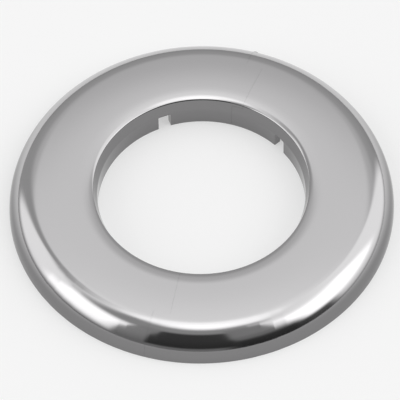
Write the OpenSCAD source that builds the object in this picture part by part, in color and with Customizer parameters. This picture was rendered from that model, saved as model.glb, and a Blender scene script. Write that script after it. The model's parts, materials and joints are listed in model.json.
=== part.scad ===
// Split pipe rosette: a shallow domed ring that covers the hole where a pipe
// leaves a wall. Two moulded halves hinge at +Y and snap together at -Y.
// The wall is the plane z = 0 and the pipe runs along Z through the origin.

/* [Plate] */
// Outer diameter of the plate, at the wall
plate_d = 90; // [84:1:104]
// Height of the plate's crest above the wall
plate_h = 7.9; // [7.7:0.1:9]
// Radius of the quarter round that forms the rim
rim_r = 7.5; // [6.5:0.1:7.6]
// Thickness of the moulded walls
wall = 1.7; // [1.5:0.1:2]

/* [Pipe collar] */
// Outer diameter of the pipe
pipe_d = 48.3; // [44:0.1:50]
// Gap all round between the pipe and the collar
pipe_gap = 0.15; // [0.05:0.05:0.5]
// Height of the cylindrical band that guides the pipe
band_h = 4.5; // [3:0.1:5.5]
// How much wider the mouth of the bore is than its band, on the radius
mouth_flare = 0.9; // [0.4:0.1:1.4]
// Distance from the mouth of the bore to the plate's crest
crest_in = 3.4; // [2.6:0.1:5]
// Radius of the crown between the mouth and the crest
lip_r = 13; // [10:0.5:20]
// Radius of the rounded edge at the mouth
edge_r = 4.5; // [3:0.1:6]
// Width of the rounded edge at the mouth, on the radius
edge_w = 1.1; // [0.6:0.1:1.6]
// Radius of the fillet between the collar and the underside of the plate
root_r = 0.8; // [0.4:0.1:1.2]

/* [Relief slots] */
// Width of each slot in the collar
slot_w = 3.1; // [2:0.1:5]
// Height of each slot, from the wall
slot_h = 4.3; // [2:0.1:5]
// Corner radius at the top of each slot
slot_corner = 0.4; // [0.1:0.1:0.9]
// Half of the angle between the two slots on either side of a seam
slot_angle = 35; // [20:0.5:60]
// Angle by which the slots are turned away from an even spread about the seams
slot_twist = 3; // [-8:0.5:8]

/* [Lap seams] */
// Gap between the faces of the two halves
seam_gap = 0.1; // [0.05:0.01:0.2]
// Angle that each tongue reaches past its seam
lap_angle = 6; // [3:0.5:10]
// Thickness of each tongue
tongue_t = 0.9; // [0.6:0.1:1.2]
// Distance from the outer end of each tongue to the start of the rim round
lap_margin = 1.2; // [0.6:0.1:3]
// Gap between a tongue and its rebate
lap_gap = 0.1; // [0.05:0.01:0.15]
// Thickness of the end walls behind the seams
end_wall_t = 1.2; // [0.8:0.1:2]
// Height of the end walls above the wall plane
end_wall_lift = 0.5; // [0.2:0.1:1.5]

/* [Snap] */
// Thickness of each of the two prongs
prong_t = 1.1; // [0.8:0.1:1.5]
// Free space between the two prongs
prong_space = 2.2; // [1.6:0.1:3]
// Height of the prongs
prong_h = 3.2; // [2:0.1:3.6]
// Height of the prongs' lower edge above the wall plane
prong_lift = 0.9; // [0.5:0.1:1.2]
// How far each barb stands out from its prong
barb = 0.6; // [0.3:0.1:0.8]
// Length of each barb
barb_l = 1.8; // [1.2:0.1:2.5]
// Gap between the prongs and the edges of the catch
snap_gap = 0.15; // [0.1:0.05:0.3]

/* [Hinge] */
// Opening angle of the hinge
open_angle = 75; // [45:5:90]
// Distance from the outer edge of the plate to the hinge axis
hinge_inset = 1.5; // [1.4:0.1:2.2]
// Outer radius of the hinge barrel
barrel_r = 1.3; // [1.1:0.05:1.4]
// Diameter of the hinge pin
pin_d = 1; // [0.8:0.1:1.1]
// Gap all round between the pin and its eye
pin_gap = 0.05; // [0.02:0.01:0.1]
// Height of the barrel's foot above the wall plane
barrel_lift = 0.3; // [0.1:0.1:0.5]
// Thickness of each lug of the fork
lug_t = 0.8; // [0.6:0.05:0.9]
// Thickness of the eye between the lugs
eye_t = 0.9; // [0.7:0.05:1]
// Gap between the eye and each lug
lug_gap = 0.1; // [0.05:0.01:0.15]
// Gap round the barrel
barrel_gap = 0.15; // [0.1:0.05:0.3]
// Width of the mouth through which the eye clips over the pin
eye_mouth = 0.8; // [0.5:0.1:0.9]

/* [Hidden] */
$fn = 180;
chrome = [0.80, 0.81, 0.83];
cut = 1;
far = 100;
LEFT = -1;
RIGHT = 1;

plate_r = plate_d / 2;
bore_r = pipe_d / 2 + pipe_gap;
mouth_r = bore_r + mouth_flare;
collar_r = bore_r + wall;
crest_r = mouth_r + crest_in;

// slopes of the section: asin of run over radius, negative towards the bore
lip_slope = asin((crest_in - edge_w) / lip_r);
mouth_slope = asin(sin(lip_slope) + edge_w / edge_r);
rim_run = plate_r - rim_r - crest_r;
crown_r = (rim_run * rim_run + plate_h * plate_h - rim_r * rim_r) / (2 * (plate_h - rim_r));
rim_slope = asin(rim_run / (crown_r - rim_r));

// centres of the section's arcs, each tangent to the next
lip_c = [crest_r, plate_h - lip_r];
edge_c = lip_c + (lip_r - edge_r) * [-sin(lip_slope), cos(lip_slope)];
crown_c = [crest_r, plate_h - crown_r];
rim_c = [plate_r - rim_r, 0];
root_run = crest_r - collar_r - root_r;
root_reach = lip_r - wall - root_r;
root_slope = asin(root_run / root_reach);
root_c = lip_c + root_reach * [-sin(root_slope), cos(root_slope)];

lap_r = rim_c[0] + rim_r * sin(rim_slope) - lap_margin;
catch_y = -(collar_r + plate_r - wall) / 2;
prong_out = prong_space / 2 + prong_t;
catch_half = prong_out + snap_gap;
catch_face = seam_gap / 2 + end_wall_t + snap_gap;

axis_y = plate_r - hinge_inset;
eye_z = barrel_lift + lug_t + lug_gap;
upper_lug_z = eye_z + eye_t + lug_gap;
barrel_top = upper_lug_z + lug_t;
lug_reach = 2 * barrel_r;
lug_w = 1.2 * barrel_r;

// Points of an arc round c, from slope a to slope b, slope 0 being the top
function arc(c, r, a, b, n) = [for (i = [0:n]) c + r * [sin(a + (b - a) * i / n), cos(a + (b - a) * i / n)]];

function reversed(p) = [for (i = [len(p) - 1:-1:0]) p[i]];

// The top of the section sunk by t, from the mouth to slope s of the crown
function top_curve(t, s) = concat(
    arc(edge_c, edge_r - t, -mouth_slope, -lip_slope, 4),
    arc(lip_c, lip_r - t, -lip_slope, 0, 5),
    arc(crown_c, crown_r - t, 0, s, 6)
);

// The rim's quarter round sunk by t, down to slope s
function rim_curve(t, s) = arc(rim_c, rim_r - t, rim_slope, s, 14);

// The underside of the plate, from the collar to the rim's foot
under_curve = concat(
    arc(root_c, root_r, -90, -root_slope, 5),
    arc(lip_c, lip_r - wall, -root_slope, 0, 5),
    arc(crown_c, crown_r - wall, 0, rim_slope, 6),
    rim_curve(wall, 90)
);

// Removes a point that repeats the one before it
function tidy(p) = [for (i = [0:len(p) - 1]) if (i == 0 || norm(p[i] - p[i - 1]) > 0.001) p[i]];

// Section of the moulding: collar, domed plate and quarter-round rim
module shell_section() {
    polygon(tidy(concat(
        [[bore_r, 0], [bore_r, band_h]],
        top_curve(0, rim_slope),
        rim_curve(0, 90),
        reversed(under_curve),
        [[collar_r, 0]]
    )));
}

// Section of an end wall, rooted halfway into the walls round it
module end_wall_section() {
    foot_slope = acos(end_wall_lift / (rim_r - wall / 2));
    polygon(tidy(concat(
        [[collar_r - wall / 2, end_wall_lift]],
        [[collar_r - wall / 2, plate_h - wall]],
        arc(crown_c, crown_r - wall / 2, 0, rim_slope, 6),
        rim_curve(wall / 2, foot_slope)
    )));
}

// One slot through the collar, cut outwards along +X
module slot() {
    flat_w = slot_w - 2 * slot_corner;
    translate([bore_r - cut, 0, 0])
    rotate([90, 0, 90])
    linear_extrude(wall + 2 * cut) {
        translate([-slot_w / 2, -cut])
        square([slot_w, slot_h - slot_corner + cut]);
        translate([-flat_w / 2, 0])
        square([flat_w, slot_h]);
        for (s = [-1, 1])
            translate([s * flat_w / 2, slot_h - slot_corner])
            circle(slot_corner);
    }
}

// The whole ring before it is split
module shell() {
    difference() {
        rotate_extrude() shell_section();
        for (seam = [-90, 90], s = [-1, 1])
            rotate([0, 0, seam + s * slot_angle + slot_twist])
            slot();
    }
}

// Everything on one side of the seam plane
module side_space(side) {
    translate([side > 0 ? seam_gap / 2 : -far - seam_gap / 2, -far, -far])
    cube([far, 2 * far, 2 * far]);
}

// End walls of one half, at both seams
module end_walls(side) {
    intersection() {
        rotate_extrude() end_wall_section();
        translate([side > 0 ? seam_gap / 2 : -seam_gap / 2 - end_wall_t, -far, -cut])
        cube([end_wall_t, 2 * far, plate_h + 2 * cut]);
    }
}

// Space of both tongues, grown by g: the top layer of the plate past each seam
module tongue_space(g) {
    depth = tongue_t + g;
    reach = lap_r + g;
    slope = asin((reach - crest_r) / (crown_r - depth));
    curve = tidy(top_curve(depth, slope));
    lap_w = far * tan(lap_angle) + g / cos(lap_angle);
    intersection() {
        rotate_extrude()
        polygon(concat(
            [[bore_r - cut, plate_h + cut], [bore_r - cut, curve[0][1]]],
            curve,
            [[reach, plate_h + cut]]
        ));
        for (s = [-1, 1])
            linear_extrude(2 * plate_h)
            polygon([[-cut, 0], [g / cos(lap_angle), 0], [lap_w, s * far], [-cut, s * far]]);
    }
}

// Room round the hinge: the barrel's seat and the wedge that lets the rims swing
module hinge_room() {
    wedge_l = 2 * hinge_inset;
    wedge_w = seam_gap / 2 + wedge_l * tan(open_angle / 2 + 1);
    translate([0, axis_y, -cut]) {
        cylinder(r = barrel_r + barrel_gap, h = barrel_top + barrel_gap + cut);
        linear_extrude(plate_h + 2 * cut)
        polygon([[-seam_gap / 2, 0], [seam_gap / 2, 0], [wedge_w, wedge_l], [-wedge_w, wedge_l]]);
    }
}

// One slice of the hinge barrel with the web that joins it to a rim
module barrel_slice(side, z, t) {
    translate([0, axis_y, z]) {
        cylinder(r = barrel_r, h = t);
        translate([side > 0 ? 0 : -lug_reach, -lug_w / 2, 0])
        cube([lug_reach, lug_w, t]);
    }
}

// One prong, its barb turned to side s; the prong starts in the left end wall
module prong(s) {
    inner = prong_space / 2;
    tip = catch_face + barb_l;
    translate([0, catch_y, prong_lift])
    linear_extrude(prong_h)
    polygon([
        [-seam_gap / 2 - end_wall_t / 2, s * inner],
        [-seam_gap / 2 - end_wall_t / 2, s * prong_out],
        [catch_face, s * prong_out],
        [catch_face, s * (prong_out + barb)],
        [catch_face + barb_l / 4, s * (prong_out + barb)],
        [tip, s * (prong_out - prong_t / 3)],
        [tip, s * inner]
    ]);
}

// Left half: tongues at both seams, snap prongs, and the hinge fork with its pin
module left_half() {
    color(chrome) {
        difference() {
            union() {
                intersection() {
                    shell();
                    union() {
                        side_space(LEFT);
                        tongue_space(0);
                    }
                }
                end_walls(LEFT);
            }
            hinge_room();
        }
        for (s = [-1, 1]) prong(s);
        barrel_slice(LEFT, barrel_lift, lug_t);
        barrel_slice(LEFT, upper_lug_z, lug_t);
        translate([0, axis_y, barrel_lift + lug_t / 2])
        cylinder(d = pin_d, h = barrel_top - barrel_lift - lug_t);
    }
}

// Right half: rebates under the tongues, the catch, and the hinge eye
module right_half() {
    color(chrome) {
        difference() {
            union() {
                intersection() {
                    shell();
                    side_space(RIGHT);
                }
                end_walls(RIGHT);
            }
            tongue_space(lap_gap);
            hinge_room();
            // catch: a slot through the near end wall, open towards the wall
            translate([-cut, catch_y - catch_half, -cut])
            cube([2 * cut + end_wall_t, 2 * catch_half, cut + prong_lift + prong_h + snap_gap]);
        }
        difference() {
            barrel_slice(RIGHT, eye_z, eye_t);
            translate([0, axis_y, eye_z - cut]) {
                cylinder(r = pin_d / 2 + pin_gap, h = eye_t + 2 * cut);
                translate([-eye_mouth / 2, -2 * barrel_r, 0])
                cube([eye_mouth, 2 * barrel_r, eye_t + 2 * cut]);
            }
        }
    }
}

left_half();
right_half();
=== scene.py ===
"""Split pipe rosette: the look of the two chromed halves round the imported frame.

Both halves are one moulded section carried round the pipe's axis, with the relief slots, the lap
tongues and their rebates, the snap and the hinge. All lengths are metres in the frame of the part.
"""

import json
import math

import bpy
import numpy as np
from bpy.props import FloatProperty, FloatVectorProperty, PointerProperty
from mathutils import Matrix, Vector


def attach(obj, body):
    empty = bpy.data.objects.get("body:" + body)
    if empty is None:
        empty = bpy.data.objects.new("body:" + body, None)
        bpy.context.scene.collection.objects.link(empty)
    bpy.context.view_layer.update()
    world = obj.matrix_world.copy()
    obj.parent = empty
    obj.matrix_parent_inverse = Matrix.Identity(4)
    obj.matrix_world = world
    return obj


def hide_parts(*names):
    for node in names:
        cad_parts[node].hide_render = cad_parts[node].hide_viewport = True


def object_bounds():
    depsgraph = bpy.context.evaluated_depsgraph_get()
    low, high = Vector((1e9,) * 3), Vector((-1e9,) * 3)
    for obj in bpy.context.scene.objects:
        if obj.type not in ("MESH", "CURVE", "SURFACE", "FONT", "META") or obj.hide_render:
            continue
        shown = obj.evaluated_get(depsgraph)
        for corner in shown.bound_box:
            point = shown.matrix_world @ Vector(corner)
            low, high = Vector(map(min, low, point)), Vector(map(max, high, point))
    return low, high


bl_info = {
    "name": "Split pipe rosette",
    "version": (1, 0, 0),
    "blender": (4, 5, 0),
    "location": "3D Viewport > Sidebar > Rosette",
    "description": "Builds the chromed two-part rosette, its studio and its camera",
    "category": "Add Mesh",
}

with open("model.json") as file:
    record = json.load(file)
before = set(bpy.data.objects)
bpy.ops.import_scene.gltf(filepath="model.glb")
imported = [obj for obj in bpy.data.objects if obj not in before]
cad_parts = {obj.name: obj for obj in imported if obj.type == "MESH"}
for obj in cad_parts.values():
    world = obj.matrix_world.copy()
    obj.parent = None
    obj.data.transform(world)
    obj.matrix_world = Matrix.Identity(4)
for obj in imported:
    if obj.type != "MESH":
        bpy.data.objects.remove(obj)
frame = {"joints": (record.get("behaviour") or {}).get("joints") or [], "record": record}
CAD_LOW, CAD_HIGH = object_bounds()
BORE = {mount["name"]: mount["dims"] for mount in frame["record"]["mounts"]}["pipe_bore"]
HINGE = frame["joints"][0]
MM = 0.001
DEG = math.pi / 180
# How far an added part stays behind the face it joins
SKIN = 0.005 * MM
# How far a cutting part starts outside the form that it cuts
CLEAR = 1 * MM
LEFT = -1
RIGHT = 1


def length(name, description, default_mm):
    """A size in metres that a user may change."""
    default = default_mm * MM
    return FloatProperty(name=name, description=description, default=default, min=0, unit="LENGTH")


def angle(name, description, default_deg):
    """An angle that a user may change, kept in radians."""
    return FloatProperty(name=name, description=description, default=default_deg * DEG, unit="ROTATION")


def share(name, description, default, highest=1.0):
    """A plain number from 0 that a user may change."""
    return FloatProperty(
        name=name, description=description, default=default, min=0, max=highest, subtype="FACTOR"
    )


def linear(code):
    """A colour's linear values from its sRGB hex code."""
    parts = [int(code[i : i + 2], 16) / 255 for i in (1, 3, 5)]
    return tuple(c / 12.92 if c <= 0.04045 else ((c + 0.055) / 1.055) ** 2.4 for c in parts)


def colour(name, description, code):
    """A colour that a user may change, written as its sRGB hex code."""
    return FloatVectorProperty(
        name=name, description=description, default=linear(code), size=3, min=0, max=1, subtype="COLOR"
    )


class RosetteSizes(bpy.types.PropertyGroup):
    """Sizes of the moulding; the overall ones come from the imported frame."""

    plate_r: length("Plate radius", "Radius of the plate at the wall", CAD_HIGH.x / MM)
    plate_h: length("Plate height", "Height of the plate's crest above the wall", CAD_HIGH.z / MM)
    bore_r: length("Bore radius", "Radius of the band that guides the pipe", BORE["r_mm"])
    band_h: length("Band height", "Height of the cylindrical band", BORE["length_mm"])
    axis_y: length("Hinge axis", "Distance from the pipe's axis to the hinge axis", HINGE["pos_m"][1] / MM)
    open_angle: angle("Opening", "How far the hinge opens", HINGE["range_deg"][1])
    wall: length("Wall", "Thickness of the moulded walls", 1.7)
    rim_r: length("Rim radius", "Radius of the quarter round that forms the rim", 7.5)
    mouth_flare: length("Mouth flare", "How much wider the mouth is than the band", 0.9)
    crest_in: length("Crest", "Distance from the mouth to the crest", 3.4)
    lip_r: length("Lip radius", "Radius of the crown between the mouth and the crest", 13)
    edge_r: length("Edge radius", "Radius of the rounded edge at the mouth", 4.5)
    edge_w: length("Edge width", "Width of the rounded edge at the mouth", 1.1)
    root_r: length("Root fillet", "Fillet between the collar and the plate's underside", 0.8)
    slot_w: length("Slot width", "Width of each relief slot in the collar", 3.1)
    slot_h: length("Slot height", "Height of each relief slot from the wall", 4.3)
    slot_corner: length("Slot corner", "Corner radius at the top of each slot", 0.4)
    slot_angle: angle("Slot angle", "Half of the angle between the slots on either side of a seam", 35)
    slot_twist: angle("Slot twist", "Angle by which the slots are turned from an even spread", 3)
    lap_angle: angle("Lap angle", "Angle that each tongue reaches past its seam", 6)
    lap_margin: length("Lap margin", "Distance from a tongue's outer end to the rim round", 1.2)
    tongue_t: length("Tongue", "Thickness of each tongue", 0.9)
    seam_gap: length("Seam gap", "Gap that shows between the closed halves", 0.02)
    end_wall_t: length("End wall", "Thickness of the end walls behind the seams", 1.2)
    end_wall_lift: length("End wall lift", "Height of the end walls above the wall plane", 0.5)
    prong_t: length("Prong", "Thickness of each snap prong", 1.1)
    prong_space: length("Prong space", "Free space between the prongs", 2.2)
    prong_h: length("Prong height", "Height of the prongs", 3.2)
    prong_lift: length("Prong lift", "Height of the prongs' lower edge above the wall plane", 0.9)
    barb: length("Barb", "How far each barb stands out from its prong", 0.6)
    barb_l: length("Barb length", "Length of each barb", 1.8)
    snap_gap: length("Snap gap", "Gap between the prongs and the edges of the catch", 0.15)
    barrel_r: length("Barrel", "Outer radius of the hinge barrel", 1.3)
    pin_r: length("Pin", "Radius of the hinge pin", 0.5)
    pin_gap: length("Pin gap", "Gap all round between the pin and its eye", 0.05)
    barrel_lift: length("Barrel lift", "Height of the barrel's foot above the wall plane", 0.3)
    lug_t: length("Lug", "Thickness of each lug of the fork", 0.8)
    eye_t: length("Eye", "Thickness of the eye between the lugs", 0.9)
    lug_gap: length("Lug gap", "Gap between the eye and each lug", 0.1)
    barrel_gap: length("Barrel gap", "Gap round the barrel", 0.15)
    eye_mouth: length("Eye mouth", "Width of the mouth by which the eye clips over the pin", 0.8)
    edge_roll: length("Edge roll", "Radius of the fine edges of the snap and the hinge", 0.02)


class RosetteFinish(bpy.types.PropertyGroup):
    """Colours and gloss of the plated plastic, and the painted shade in its bore and at its foot."""

    chrome: colour("Chrome", "Mirror colour of the chrome plating", "#C3C2C3")
    roughness: share("Roughness", "Roughness of the plating", 0.1)
    # Painted shade: the darkest tone the chrome's colour is painted down to, inside the bore and at the
    # rim's foot
    painted_shade_tone: share("Painted shade", "Brightness of the darkest plating against its full tone", 0.43)
    wave: length("Wave", "Width of the plastic's faint waves, drawn as coarse as they need to show", 9)
    wave_h: length("Wave height", "Height of the waves", 0.01)
    wave_strength: share("Wave strength", "How much of the waves' height shows", 0.25)
    # Painted shade: heights over which the chrome's colour is painted darker towards the rim's foot
    full_shade_height: length("Full shade height", "Height below which the rim's plating is darkest", 3)
    shade_end_height: length("Shade end height", "Height from which the rim's plating has its full tone", 6)


class RosetteStudio(bpy.types.PropertyGroup):
    """Floor colour and the brightness of the studio's soft boxes."""

    floor: colour("Floor", "Colour of the floor", "#F2F2F2")
    level: share("Level", "Brightness of the whole studio", 1.12, 3)
    floor_lift: share("Floor lift", "How far the floor is lifted to plain white", 0.5)


def arc(centre, radius, start, end, steps):
    """Points of a circle: centre plus radius times (sine, cosine) of a slope that runs from start to end."""
    slope = np.linspace(start, end, steps + 1)[:, None]
    return np.asarray(centre) + radius * np.hstack([np.sin(slope), np.cos(slope)])


def line(start, end, steps):
    """Points spread evenly along a straight line."""
    share_along = np.linspace(0, 1, steps + 1)[:, None]
    return (1 - share_along) * np.asarray(start) + share_along * np.asarray(end)


def chain(*runs):
    """Joins runs of points, dropping each run's first point where it repeats the last one."""
    return np.vstack([runs[0], *[run[1:] for run in runs[1:]]])


# Steps of each stretch of the section, from the collar's foot to the rim's foot
SLOT_STEPS = 8
CORNER_STEPS = 2
FLARE_STEPS = 6
TONGUE_STEPS = 3
EDGE_STEPS = 10
LIP_STEPS = 14
CROWN_STEPS = 16
MARGIN_STEPS = 4
RIM_STEPS = 44


class Section:
    """The moulding's section as a lattice of points (radius, height).

    Row i follows the outer skin from the collar's foot over the mouth, the crest and the rim to the
    rim's foot. Column 0 lies on the outer skin, column 1 under a tongue, and column 2 on the underside.
    """

    def __init__(self, s, tongue_t):
        crest_r = s.bore_r + s.mouth_flare + s.crest_in
        collar_r = s.bore_r + s.wall
        lip_slope = math.asin((s.crest_in - s.edge_w) / s.lip_r)
        mouth_slope = math.asin(math.sin(lip_slope) + s.edge_w / s.edge_r)
        rim_run = s.plate_r - s.rim_r - crest_r
        crown_r = (rim_run**2 + s.plate_h**2 - s.rim_r**2) / (2 * (s.plate_h - s.rim_r))
        rim_slope = math.asin(rim_run / (crown_r - s.rim_r))
        lip_c = np.array([crest_r, s.plate_h - s.lip_r])
        edge_c = lip_c + (s.lip_r - s.edge_r) * np.array([-math.sin(lip_slope), math.cos(lip_slope)])
        crown_c = np.array([crest_r, s.plate_h - crown_r])
        rim_c = np.array([s.plate_r - s.rim_r, 0.0])
        root_reach = s.lip_r - s.wall - s.root_r
        root_slope = math.asin((crest_r - collar_r - s.root_r) / root_reach)
        root_c = lip_c + root_reach * np.array([-math.sin(root_slope), math.cos(root_slope)])
        lap_r = rim_c[0] + s.rim_r * math.sin(rim_slope) - s.lap_margin
        lap_slope = math.asin((lap_r - crest_r) / crown_r)

        def skin(sunk, lip_start):
            """Runs of the top surface sunk by a depth: lip, crown up to and past the lap's end, and rim."""
            return [
                arc(lip_c, s.lip_r - sunk, -lip_start, 0, LIP_STEPS),
                arc(crown_c, crown_r - sunk, 0, lap_slope, CROWN_STEPS),
                arc(crown_c, crown_r - sunk, lap_slope, rim_slope, MARGIN_STEPS),
                arc(rim_c, s.rim_r - sunk, rim_slope, 90 * DEG, RIM_STEPS),
            ]

        to_mouth = np.array([-math.sin(mouth_slope), math.cos(mouth_slope)])
        mouth = edge_c + s.edge_r * to_mouth
        sunk_mouth = edge_c + (s.edge_r - tongue_t) * to_mouth
        flare_foot = np.array([s.bore_r, s.band_h])
        flare = (mouth - flare_foot)[0] / (mouth - flare_foot)[1]
        tongue_foot = np.array([s.bore_r + (sunk_mouth[1] - s.band_h) * flare, sunk_mouth[1]])
        shoulder = s.slot_h - s.slot_corner

        # one list of runs for each column, with the same steps in each
        outer = chain(
            line([s.bore_r, 0], [s.bore_r, shoulder], SLOT_STEPS),
            line([s.bore_r, shoulder], flare_foot, CORNER_STEPS),
            line(flare_foot, tongue_foot, FLARE_STEPS),
            line(tongue_foot, mouth, TONGUE_STEPS),
            arc(edge_c, s.edge_r, -mouth_slope, -lip_slope, EDGE_STEPS),
            *skin(0, lip_slope),
        )
        root_start = np.array([collar_r, root_c[1]])
        root = arc(root_c, s.root_r, -90 * DEG, -root_slope, TONGUE_STEPS + EDGE_STEPS)
        inner = chain(
            line([collar_r, 0], [collar_r, shoulder], SLOT_STEPS),
            line([collar_r, shoulder], [collar_r, s.band_h], CORNER_STEPS),
            line([collar_r, s.band_h], root_start, FLARE_STEPS),
            root,
            *skin(s.wall, root_slope),
        )
        # the rows at which the tongue starts and ends follow from the steps before them
        self.tongue_start = SLOT_STEPS + CORNER_STEPS + FLARE_STEPS
        mouth_row = self.tongue_start + TONGUE_STEPS
        self.lap_end = mouth_row + EDGE_STEPS + LIP_STEPS + CROWN_STEPS
        middle = (outer + inner) / 2
        landing = line(tongue_foot + [tongue_t / 3, 0], sunk_mouth, TONGUE_STEPS)
        middle[self.tongue_start : mouth_row + 1] = landing
        middle[mouth_row:] = chain(
            arc(edge_c, s.edge_r - tongue_t, -mouth_slope, -lip_slope, EDGE_STEPS),
            *skin(tongue_t, lip_slope),
        )
        self.points = np.stack([outer, middle, inner], axis=1)
        self.rows = len(outer)
        self.collar_r = collar_r
        self.rim_c = rim_c
        self.crown_c = crown_c
        self.crown_r = crown_r
        self.rim_slope = rim_slope
        self.catch_y = -(collar_r + s.plate_r - s.wall) / 2


class Rails:
    """The lines round the axis on which the section stands.

    Each rail k has a base angle from the near seam and a sideways distance from that angle's plane,
    so that its angle at radius r is the base angle plus the arcsine of distance over r.
    """

    def __init__(self, s, side_of_part):
        half_slot = s.slot_w / 2
        corner = half_slot - s.slot_corner + s.slot_corner * np.sin(np.linspace(0, 90, 7) * DEG)
        slot = np.concatenate([-corner[::-1], [-half_slot / 3, half_slot / 3], corner])
        near_rim = np.array([0, 0.35, 0.8]) * MM
        half_turn = 180 * DEG
        near_slot = s.slot_angle + side_of_part * s.slot_twist
        far_slot = half_turn - s.slot_angle + side_of_part * s.slot_twist
        base, side, marks = [], [], {}

        def put(name, angles, distances=0.0):
            """Adds rails and marks the first and the last of them by name."""
            angles, distances = np.broadcast_arrays(np.atleast_1d(angles), np.atleast_1d(distances))
            marks[name] = (len(base), len(base) + len(angles) - 1)
            base.extend(angles)
            side.extend(distances)

        def spread(start, end, step=1.0 * DEG):
            """Angles spread evenly between two others, about a step apart."""
            count = max(2, round((end - start) / step))
            return np.linspace(start, end, count + 1)[1:-1]

        # plain rails keep clear of the close ones at a seam and at a slot
        clear = 2.2 * DEG
        slot_clear = 4.8 * DEG
        put("near_lap_end", -s.lap_angle, near_rim)
        put("near_lap", spread(-s.lap_angle + clear, -clear))
        put("near_seam_outside", 0, -near_rim[:0:-1])
        put("near_seam", 0, near_rim)
        put("near_rebate", spread(clear, s.lap_angle))
        put("near_rebate_end", s.lap_angle, near_rim)
        put("near_plain", spread(s.lap_angle + clear, near_slot - slot_clear))
        put("near_slot", near_slot, slot)
        put("middle", spread(near_slot + slot_clear, far_slot - slot_clear))
        put("far_slot", far_slot, slot)
        put("far_plain", spread(far_slot + slot_clear, half_turn - s.lap_angle - clear))
        put("far_rebate_end", half_turn - s.lap_angle, -near_rim[::-1])
        put("far_rebate", spread(half_turn - s.lap_angle, half_turn - clear))
        put("far_seam", half_turn, -near_rim[::-1])
        put("far_seam_outside", half_turn, near_rim[1:])
        put("far_lap", spread(half_turn + clear, half_turn + s.lap_angle - clear))
        put("far_lap_end", half_turn + s.lap_angle, -near_rim[::-1])
        self.base = np.array(base)
        self.side = np.array(side)
        self.marks = marks
        self.count = len(base)


def shell(s, side):
    """One half of the ring: the section carried round the axis on the rails.

    A point of radius r and height z on a rail of angle a lies at x = side * r * sin(a), y = -r * cos(a),
    moved away from the seam plane by half the seam gap times |cos(a)|. Cells of the lattice that a slot,
    a tongue's end, or a rebate leaves empty are dropped, and what is left keeps its outside faces.
    """
    section = Section(s, s.tongue_t if side == LEFT else s.tongue_t + s.seam_gap)
    rails = Rails(s, side)
    marks = rails.marks
    rows, rail_count = section.rows, rails.count
    radius = section.points[:, :, 0][:, :, None]
    height = np.broadcast_to(section.points[:, :, 1][:, :, None], (rows, 3, rail_count)).copy()
    turn = rails.base + np.arcsin(rails.side / radius)

    # the slots' rounded tops lift the row at their shoulder
    half_flat = s.slot_w / 2 - s.slot_corner
    for name in ("near_slot", "far_slot"):
        first, last = marks[name]
        past = np.clip((np.abs(rails.side[first : last + 1]) - half_flat) / s.slot_corner, 0, 1)
        height[SLOT_STEPS, :, first : last + 1] += s.slot_corner * np.sqrt(1 - past**2)

    x = side * radius * np.sin(turn) + side * s.seam_gap / 2 * np.abs(np.cos(turn))
    y = -radius * np.cos(turn)
    points = np.stack([x, y, height], axis=-1)

    solid = np.zeros((rows - 1, 2, rail_count - 1), bool)
    seam_a, seam_b = marks["near_seam"][0], marks["far_seam"][1]
    lap_rows = slice(section.tongue_start, section.lap_end)
    solid[:, :, seam_a:seam_b] = True
    if side == LEFT:
        solid[lap_rows, 0, :] = True
    else:
        solid[lap_rows, 0, seam_a : marks["near_rebate_end"][0]] = False
        solid[lap_rows, 0, marks["far_rebate_end"][1] : seam_b] = False
    for name in ("near_slot", "far_slot"):
        first, last = marks[name]
        solid[: SLOT_STEPS, :, first:last] = False
    return skin_of(points, solid)


def skin_of(points, solid):
    """Outside faces of a lattice of cells: a face stands wherever a solid cell meets an empty one."""
    number = np.arange(points[..., 0].size).reshape(points.shape[:3])
    quads = []
    for axis in range(3):
        padded = np.pad(solid.astype(np.int8), [(1, 1) if a == axis else (0, 0) for a in range(3)])
        step = np.diff(padded, axis=axis)
        first, second = [a for a in range(3) if a != axis]

        def corner(da, db):
            window = [slice(None)] * 3
            window[first] = slice(da, number.shape[first] - 1 + da)
            window[second] = slice(db, number.shape[second] - 1 + db)
            return number[tuple(window)]

        ring = np.stack([corner(0, 0), corner(1, 0), corner(1, 1), corner(0, 1)], axis=-1)
        turned = axis == 1
        quads.append(ring[step == (1 if turned else -1)])
        quads.append(ring[step == (-1 if turned else 1)][:, ::-1])
    faces = np.vstack(quads)
    used, faces = np.unique(faces, return_inverse=True)
    faces = faces.reshape(-1, 4)
    vertices = points.reshape(-1, 3)[used]
    return outwards(vertices, faces)


def outwards(vertices, faces):
    """Turns all the faces round if together they enclose a negative volume."""
    a, b, c, d = (vertices[faces[:, i]] for i in range(4))
    volume = np.einsum("ij,ij->", a, np.cross(b, c)) + np.einsum("ij,ij->", a, np.cross(c, d))
    return vertices, faces if volume > 0 else faces[:, ::-1]


def prism(outline, low, high, along="z"):
    """An outline carried straight from low to high, along z from x and y or along x from y and z."""
    outline = np.asarray(outline, float)
    following = np.roll(outline, -1, axis=0)
    if np.sum(outline[:, 0] * following[:, 1] - outline[:, 1] * following[:, 0]) < 0:
        outline = outline[::-1]
    count = len(outline)
    vertices = np.hstack([np.tile(outline, (2, 1)), np.repeat([low, high], count)[:, None]])
    if along == "x":
        vertices = np.roll(vertices, 1, axis=1)
    ring = np.arange(count)
    after = np.roll(ring, -1)
    sides = np.stack([ring, after, after + count, ring + count], axis=1)
    return vertices, [ring[::-1].tolist(), (ring + count).tolist(), *sides.tolist()]


def circle_arc(radius, start, end, steps=24):
    """Points of a circle round the origin, from one angle to another."""
    turn = np.linspace(start, end, steps + 1)[:, None]
    return radius * np.hstack([np.cos(turn), np.sin(turn)])


def mesh_object(name, part):
    """A smooth-shaded object of one closed part."""
    vertices, faces = part
    mesh = bpy.data.meshes.new(name)
    mesh.from_pydata(np.asarray(vertices), [], faces if isinstance(faces, list) else faces.tolist())
    mesh.shade_smooth()
    piece = bpy.data.objects.new(name, mesh)
    bpy.context.scene.collection.objects.link(piece)
    return piece


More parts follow.
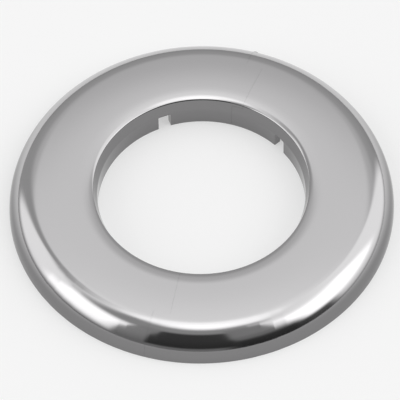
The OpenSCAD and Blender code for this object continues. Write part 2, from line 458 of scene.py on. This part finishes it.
def roll_edges(piece, radius):
    """Rounds the sharp edges of a moulded form by a small radius."""
    roll = piece.modifiers.new("edge roll", "BEVEL")
    roll.width = radius
    roll.segments = 2
    roll.limit_method = "ANGLE"
    roll.angle_limit = 35 * DEG


def moulding(name, form, steps, s):
    """One half: a form to which each step adds a closed part (UNION) or takes one away (DIFFERENCE)."""
    piece = mesh_object(name, form)
    tools = []
    for operation, part in steps:
        tool = mesh_object("tool", part)
        roll_edges(tool, s.edge_roll)
        cut = piece.modifiers.new("step", "BOOLEAN")
        cut.operation = operation
        cut.solver = "MANIFOLD"
        cut.object = tool
        tools.append(tool)
    bpy.context.view_layer.update()
    whole = bpy.data.meshes.new_from_object(piece.evaluated_get(bpy.context.evaluated_depsgraph_get()))
    old = piece.data
    piece.modifiers.clear()
    piece.data = whole
    whole.name = name
    bpy.data.meshes.remove(old)
    for tool in tools:
        mesh = tool.data
        bpy.data.objects.remove(tool)
        bpy.data.meshes.remove(mesh)
    whole.shade_smooth()
    whole.set_sharp_from_angle(angle=50 * DEG)
    even = piece.modifiers.new("even shading", "WEIGHTED_NORMAL")
    even.keep_sharp = True
    return piece


def dress(piece, material, body, node):
    """Plates the half, lets it ride on its body and puts it in its node's place."""
    piece.data.materials.clear()
    piece.data.materials.append(material)
    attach(piece, body)
    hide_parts(node)


def end_walls(s, side):
    """Walls behind both seams: the space under the plate between collar and rim, carried along x."""
    section = Section(s, s.tongue_t)
    depth = (s.tongue_t + s.wall) / 2
    below_crown = 0.25 * MM
    foot = math.acos(s.end_wall_lift / (s.rim_r - depth))
    top = chain(
        arc(section.crown_c, section.crown_r - depth, 0, section.rim_slope, 12),
        arc(section.rim_c, s.rim_r - depth, section.rim_slope, foot, 24),
    )
    collar = section.collar_r - s.wall / 2
    profile = np.vstack([[collar, s.end_wall_lift], [collar, s.plate_h - depth - below_crown], top])
    faces_x = sorted((side * (s.seam_gap / 2 + SKIN), side * (s.seam_gap / 2 + s.end_wall_t)))
    return [("UNION", prism(profile * (end, 1), *faces_x, along="x")) for end in (-1, 1)]


def prongs(s):
    """Two snap prongs with outward barbs: a hooked outline carried along z."""
    catch_y = Section(s, s.tongue_t).catch_y
    inner = s.prong_space / 2
    outer = inner + s.prong_t
    root = -s.seam_gap / 2 - s.end_wall_t / 2
    face = s.seam_gap / 2 + s.end_wall_t + s.snap_gap
    tip = face + s.barb_l
    outline = np.array([
        [root, inner],
        [root, outer],
        [face, outer],
        [face, outer + s.barb],
        [face + s.barb_l / 4, outer + s.barb],
        [tip, outer - s.prong_t / 3],
        [tip, inner],
    ])
    low, high = s.prong_lift, s.prong_lift + s.prong_h
    return [("UNION", prism(outline * (1, end) + (0, catch_y), low, high)) for end in (-1, 1)]


def catch(s):
    """Window in the right half's near end wall, which the barbs hook behind."""
    catch_y = Section(s, s.tongue_t).catch_y
    half = s.prong_space / 2 + s.prong_t + s.snap_gap
    reach = s.end_wall_t + CLEAR
    low, high = catch_y - half, catch_y + half
    outline = [[-reach, low], [reach, low], [reach, high], [-reach, high]]
    return [("DIFFERENCE", prism(outline, -CLEAR, s.prong_lift + s.prong_h + s.snap_gap))]


def hinge_heights(s):
    """Heights of the eye's underside, the upper lug's underside and the barrel's top."""
    eye = s.barrel_lift + s.lug_t + s.lug_gap
    upper = eye + s.eye_t + s.lug_gap
    return eye, upper, upper + s.lug_t


def hinge_room(s):
    """Room for the hinge: a round seat for the barrel and a wedge in which the rims swing."""
    axis = np.array([0, s.axis_y])
    wedge_l = 2 * (s.plate_r - s.axis_y)
    spare = 1 * DEG
    gap = s.seam_gap / 2
    wedge_w = gap + wedge_l * math.tan(s.open_angle / 2 + spare)
    wedge = np.array([[-gap, 0], [gap, 0], [wedge_w, wedge_l], [-wedge_w, wedge_l]]) + axis
    seat = circle_arc(s.barrel_r + s.barrel_gap, 0, 360 * DEG, 48)[:-1] + axis
    top = hinge_heights(s)[2] + s.barrel_gap
    return [("DIFFERENCE", prism(seat, -CLEAR, top)), ("DIFFERENCE", prism(wedge, -CLEAR, 2 * s.plate_h))]


def web(s):
    """Half the width of the web that holds a barrel slice, and how far it reaches from the axis."""
    return 0.6 * s.barrel_r, 2 * s.barrel_r


def barrel_outline(s, side):
    """Outline of a barrel slice: a circle whose web runs out to one side, starting at the web's far end."""
    half_web, reach = web(s)
    meet = math.asin(half_web / s.barrel_r)
    round_side = circle_arc(s.barrel_r, meet, 360 * DEG - meet, 40)
    return np.vstack([[[reach, -half_web], [reach, half_web]], round_side]) * (side, 1)


def fork(s):
    """The left half's two lugs and the pin between them."""
    axis = np.array([0, s.axis_y])
    upper, top = hinge_heights(s)[1:]
    lug = barrel_outline(s, LEFT) + axis
    pin = circle_arc(s.pin_r, 0, 360 * DEG, 32)[:-1] + axis
    return [
        ("UNION", prism(lug, s.barrel_lift, s.barrel_lift + s.lug_t)),
        ("UNION", prism(lug, upper, top)),
        ("UNION", prism(pin, s.barrel_lift + s.lug_t / 2, top - s.lug_t / 2)),
    ]


def eye(s):
    """The right half's eye: a barrel slice with the pin's hole and a mouth towards the bore."""
    low = hinge_heights(s)[0]
    half = s.eye_mouth / 2
    hole = s.pin_r + s.pin_gap
    half_web, reach = web(s)
    meet = math.asin(half_web / s.barrel_r)
    mouth_outside = math.acos(half / s.barrel_r)
    mouth_inside = math.acos(half / hole)
    outline = np.vstack([
        circle_arc(s.barrel_r, -mouth_outside, -meet, 8),
        [[reach, -half_web], [reach, half_web]],
        circle_arc(s.barrel_r, meet, 180 * DEG + mouth_outside, 30),
        circle_arc(hole, 180 * DEG + mouth_inside, -mouth_inside, 28),
    ])
    return [("UNION", prism(outline + (0, s.axis_y), low, low + s.eye_t))]


def add(tree, kind, settings=(), **sockets):
    """Adds a node with its settings; each socket, by name or as i0, i1 and so on, gets a value or a link."""
    node = tree.nodes.new(kind)
    for name, value in dict(settings).items():
        setattr(node, name, value)
    for name, value in sockets.items():
        number = name[1:].isdigit() and name[0] == "i"
        socket = node.inputs[int(name[1:]) if number else name.replace("_", " ")]
        if isinstance(value, bpy.types.NodeSocket):
            tree.links.new(value, socket)
        else:
            socket.default_value = value
    return node


def chrome_plated_abs(finish, sizes):
    """Decorative chrome over moulded ABS: a near mirror whose skin follows the plastic's faint waviness.

    Inside the bore and towards the rim's foot the chrome's colour is painted darker: painted shade that
    stands in for the darker floor these faces mirror.
    """
    material = bpy.data.materials.new("chrome_plated_abs")
    material.use_nodes = True
    tree = material.node_tree
    tree.nodes.clear()
    place = add(tree, "ShaderNodeTexCoord").outputs["Object"]
    waves = add(tree, "ShaderNodeTexNoise", Vector=place, Scale=1 / finish.wave, Detail=1.0).outputs["Fac"]
    bump = add(tree, "ShaderNodeBump", Strength=finish.wave_strength, Distance=finish.wave_h, Height=waves)

    xyz = add(tree, "ShaderNodeSeparateXYZ", Vector=place).outputs
    flat = add(tree, "ShaderNodeCombineXYZ", X=xyz["X"], Y=xyz["Y"])
    radius = add(tree, "ShaderNodeVectorMath", {"operation": "LENGTH"}, i0=flat.outputs[0]).outputs["Value"]

    def fade(value, full, none):
        """1 where the value is at full, falling smoothly to 0 at none."""
        smooth = {"interpolation_type": "SMOOTHSTEP"}
        faded = add(tree, "ShaderNodeMapRange", smooth, Value=value, From_Min=none, From_Max=full)
        return faded.outputs[0]

    # Painted shade: the chrome's colour darkens inside the bore and towards the rim's foot, standing in for
    # the darker floor mirrored there
    mouth = sizes.bore_r + sizes.mouth_flare
    bore_shade = fade(radius, mouth - 0.08 * MM, mouth + 0.04 * MM)
    foot_shade = fade(xyz["Z"], finish.full_shade_height, finish.shade_end_height)
    shade_mask = add(tree, "ShaderNodeMath", {"operation": "MAXIMUM"}, i0=bore_shade, i1=foot_shade).outputs[0]
    full = (*finish.chrome, 1)
    dark = (*[part * finish.painted_shade_tone for part in finish.chrome], 1)
    tone = add(tree, "ShaderNodeMix", {"data_type": "RGBA"}, Factor=shade_mask, i6=full, i7=dark).outputs[2]
    plate = add(
        tree,
        "ShaderNodeBsdfPrincipled",
        Base_Color=tone,
        Metallic=1.0,
        Roughness=finish.roughness,
        Normal=bump.outputs["Normal"],
    )
    add(tree, "ShaderNodeOutputMaterial", Surface=plate.outputs["BSDF"])
    return material


def plating(context):
    """The plating's material, made once for both halves."""
    scene = context.scene
    made = bpy.data.materials.get("chrome_plated_abs")
    return made or chrome_plated_abs(scene.rosette_finish, scene.rosette_sizes)


class ROSETTE_OT_left_half(bpy.types.Operator):
    """Build the left half: tongues at both seams, snap prongs and the hinge fork"""

    bl_idname = "rosette.left_half"
    bl_label = "Left half"

    def execute(self, context):
        s = context.scene.rosette_sizes
        steps = end_walls(s, LEFT) + hinge_room(s) + prongs(s) + fork(s)
        half = moulding("left_moulding", shell(s, LEFT), steps, s)
        dress(half, plating(context), "left", "left_half")
        return {"FINISHED"}


class ROSETTE_OT_right_half(bpy.types.Operator):
    """Build the right half: rebates under the tongues, the catch and the hinge eye"""

    bl_idname = "rosette.right_half"
    bl_label = "Right half"

    def execute(self, context):
        s = context.scene.rosette_sizes
        steps = end_walls(s, RIGHT) + hinge_room(s) + catch(s) + eye(s)
        half = moulding("right_moulding", shell(s, RIGHT), steps, s)
        dress(half, plating(context), "right", "right_half")
        return {"FINISHED"}


# where the photograph's camera stood, seen from the part
CAMERA_BEARING = 18 * DEG
CAMERA_ELEVATION = 53.8 * DEG
CAMERA_ROLL = -1.27 * DEG
CAMERA_DISTANCE = 985.5 * MM
CAMERA_LENS = 378.7
CAMERA_AIM = (-0.36 * MM, 1.17 * MM)


def turned(vector, bearing):
    """A vector turned about Z by an angle."""
    x, y, z = vector
    c, s = math.cos(bearing), math.sin(bearing)
    return np.array([c * x - s * y, s * x + c * y, z])


def make_camera():
    """The camera: it looks down at the given elevation from the given bearing, rolled a little."""
    c, s = math.cos(CAMERA_ELEVATION), math.sin(CAMERA_ELEVATION)
    ahead = np.array([0, c, -s])
    right = np.array([1.0, 0, 0])
    up = np.array([0, s, c])
    across = math.cos(CAMERA_ROLL) * right + math.sin(CAMERA_ROLL) * up
    upright = -math.sin(CAMERA_ROLL) * right + math.cos(CAMERA_ROLL) * up
    place = np.array([*CAMERA_AIM, 0]) - CAMERA_DISTANCE * ahead
    columns = [turned(v, CAMERA_BEARING) for v in (across, upright, -ahead, place)]
    data = bpy.data.cameras.new("camera")
    data.lens = CAMERA_LENS
    data.sensor_width = 36
    data.clip_start = 0.1
    data.clip_end = 100
    camera = bpy.data.objects.new("camera", data)
    bpy.context.scene.collection.objects.link(camera)
    matrix = Matrix.Identity(4)
    for index, column in enumerate(columns):
        for row in range(3):
            matrix[row][index] = column[row]
    camera.matrix_world = matrix
    bpy.context.scene.camera = camera


def pale_floor(studio):
    """Matt painted board: lifted part of the way to white, shadow kept, and seen through from below."""
    material = bpy.data.materials.new("painted_board")
    material.use_nodes = True
    tree = material.node_tree
    tree.nodes.clear()
    paint = add(tree, "ShaderNodeBsdfDiffuse", Color=(*studio.floor, 1))
    white = add(tree, "ShaderNodeEmission", Color=(1, 1, 1, 1), Strength=1.0)
    ray = add(tree, "ShaderNodeLightPath").outputs
    either = {"operation": "MAXIMUM"}
    mirrored = add(tree, "ShaderNodeMath", either, i0=ray["Is Glossy Ray"], i1=ray["Is Transmission Ray"])
    seen = add(tree, "ShaderNodeMath", either, i0=ray["Is Camera Ray"], i1=mirrored.outputs[0]).outputs[0]
    lift = add(tree, "ShaderNodeMath", {"operation": "MULTIPLY"}, i0=seen, i1=studio.floor_lift).outputs[0]
    board = add(tree, "ShaderNodeMixShader", Fac=lift, i1=paint.outputs[0], i2=white.outputs[0])
    clear = add(tree, "ShaderNodeBsdfTransparent")
    below = add(tree, "ShaderNodeNewGeometry").outputs["Backfacing"]
    both = add(tree, "ShaderNodeMixShader", Fac=below, i1=board.outputs[0], i2=clear.outputs[0])
    add(tree, "ShaderNodeOutputMaterial", Surface=both.outputs[0])
    return material


# The room's own brightness at each elevation in degrees, from the horizon to the zenith
ROOM = {0: 0.36, 25: 0.43, 42: 0.6, 55: 0.86, 70: 1.05, 80: 1.5, 90: 1.8}
# Soft boxes and dark flags: bearing from the camera's side, positive to the right, then half the width
# and the width of the soft edge, then the same for elevation, all in degrees, and the brightness
SOFT_BOXES = {
    "far_left_wall": (-128, 16, 14, 30, 36, 20, 0.4),
    "front_ceiling": (-20, 75, 40, 66, 12, 12, 0.34),
    "left_box": (-86, 40, 8, 31, 24, 12, 1.15),
    "left_box_core": (-70, 20, 12, 33, 18, 12, 1.75),
    "right_box": (88, 46, 8, 36, 32, 12, 1.15),
    "right_box_core": (76, 28, 10, 38, 19, 12, 1.8),
    "right_box_foot": (58, 12, 12, 8, 12, 12, 0.12),
    "front_left_strip": (-38, 9, 3, 34, 30, 10, 0.29),
    "photographer": (-7, 23, 3, 35, 26, 8, 0.05),
    "front_right_strip": (27, 13, 4, 50, 18, 10, 0.26),
    "front_right_shade": (32, 20, 12, 6, 26, 24, 0.05),
}


def soft_light(studio):
    """The studio as a world: a grey room with soft boxes, each a smooth patch of bearing and elevation."""
    world = bpy.data.worlds.new("soft_studio")
    world.use_nodes = True
    bpy.context.scene.world = world
    tree = world.node_tree
    tree.nodes.clear()
    ray = add(tree, "ShaderNodeTexCoord").outputs["Generated"]
    about_z = {"rotation_type": "Z_AXIS"}
    heading = add(tree, "ShaderNodeVectorRotate", about_z, Vector=ray, Angle=-CAMERA_BEARING)
    xyz = add(tree, "ShaderNodeSeparateXYZ", Vector=heading.outputs["Vector"]).outputs
    back = add(tree, "ShaderNodeMath", {"operation": "MULTIPLY"}, i0=xyz["Y"], i1=-1.0).outputs[0]
    bearing = add(tree, "ShaderNodeMath", {"operation": "ARCTAN2"}, i0=xyz["X"], i1=back).outputs[0]
    elevation = add(tree, "ShaderNodeMath", {"operation": "ARCSINE"}, i0=xyz["Z"]).outputs[0]
    patch_height = add(tree, "ShaderNodeMath", {"operation": "DIVIDE"}, i0=elevation, i1=90 * DEG).outputs[0]

    def patch(value, centre, half, soft, wraps):
        """1 within half of the centre, falling smoothly to 0 over the soft width."""
        away = add(tree, "ShaderNodeMath", {"operation": "SUBTRACT"}, i0=value, i1=centre * DEG).outputs[0]
        if wraps:
            wrap = {"operation": "WRAP"}
            away = add(tree, "ShaderNodeMath", wrap, i0=away, i1=-math.pi, i2=math.pi).outputs[0]
        away = add(tree, "ShaderNodeMath", {"operation": "ABSOLUTE"}, i0=away).outputs[0]
        fade = add(
            tree,
            "ShaderNodeMapRange",
            {"interpolation_type": "SMOOTHSTEP"},
            Value=away,
            From_Min=(half + soft / 2) * DEG,
            From_Max=(half - soft / 2) * DEG,
        )
        return fade.outputs[0]

    ramp = add(tree, "ShaderNodeValToRGB", Fac=patch_height)
    ramp.color_ramp.interpolation = "EASE"
    stops = ramp.color_ramp.elements
    for stop in stops[1:]:
        stops.remove(stop)
    for place, (height, strength) in enumerate(ROOM.items()):
        stop = stops[0] if place == 0 else stops.new(height / 90)
        stop.position = height / 90
        stop.color = (strength, strength, strength, 1)
    light = ramp.outputs["Color"]
    for centre, half, soft, up, half_up, soft_up, strength in SOFT_BOXES.values():
        across = patch(bearing, centre, half, soft, True)
        above = patch(elevation, up, half_up, soft_up, False)
        both = add(tree, "ShaderNodeMath", {"operation": "MULTIPLY"}, i0=across, i1=above).outputs[0]
        shade = (strength, strength, strength, 1)
        light = add(tree, "ShaderNodeMix", {"data_type": "RGBA"}, Factor=both, i6=light, i7=shade).outputs[2]
    sky = add(tree, "ShaderNodeBackground", Color=light, Strength=studio.level)
    add(tree, "ShaderNodeOutputWorld", Surface=sky.outputs[0])


class ROSETTE_OT_studio(bpy.types.Operator):
    """Make the camera, the pale floor and the soft light"""

    bl_idname = "rosette.studio"
    bl_label = "Studio"

    def execute(self, context):
        make_camera()
        context.scene.view_settings.view_transform = "Standard"
        soft_light(context.scene.rosette_studio)
        reach = 15.0
        mesh = bpy.data.meshes.new("floor")
        corners = [(-reach, -reach, 0), (reach, -reach, 0), (reach, reach, 0), (-reach, reach, 0)]
        mesh.from_pydata(corners, [], [(0, 1, 2, 3)])
        mesh.materials.append(pale_floor(context.scene.rosette_studio))
        floor = bpy.data.objects.new("floor", mesh)
        context.scene.collection.objects.link(floor)
        return {"FINISHED"}


class ROSETTE_PT_panel(bpy.types.Panel):
    """Lists the rosette's pieces in the sidebar"""

    bl_idname = "ROSETTE_PT_panel"
    bl_label = "Split pipe rosette"
    bl_space_type = "VIEW_3D"
    bl_region_type = "UI"
    bl_category = "Rosette"

    def draw(self, context):
        for operator in OPERATORS:
            self.layout.operator(operator.bl_idname)


OPERATORS = (ROSETTE_OT_studio, ROSETTE_OT_left_half, ROSETTE_OT_right_half)
CLASSES = (RosetteSizes, RosetteFinish, RosetteStudio, *OPERATORS, ROSETTE_PT_panel)


def register():
    for item in CLASSES:
        bpy.utils.register_class(item)
    bpy.types.Scene.rosette_sizes = PointerProperty(type=RosetteSizes)
    bpy.types.Scene.rosette_finish = PointerProperty(type=RosetteFinish)
    bpy.types.Scene.rosette_studio = PointerProperty(type=RosetteStudio)


def unregister():
    del bpy.types.Scene.rosette_sizes, bpy.types.Scene.rosette_finish, bpy.types.Scene.rosette_studio
    for item in reversed(CLASSES):
        bpy.utils.unregister_class(item)


def main():
    """Builds everything in order."""
    register()
    bpy.ops.rosette.studio()
    bpy.ops.rosette.left_half()
    bpy.ops.rosette.right_half()


if __name__ == "__main__":
    main()
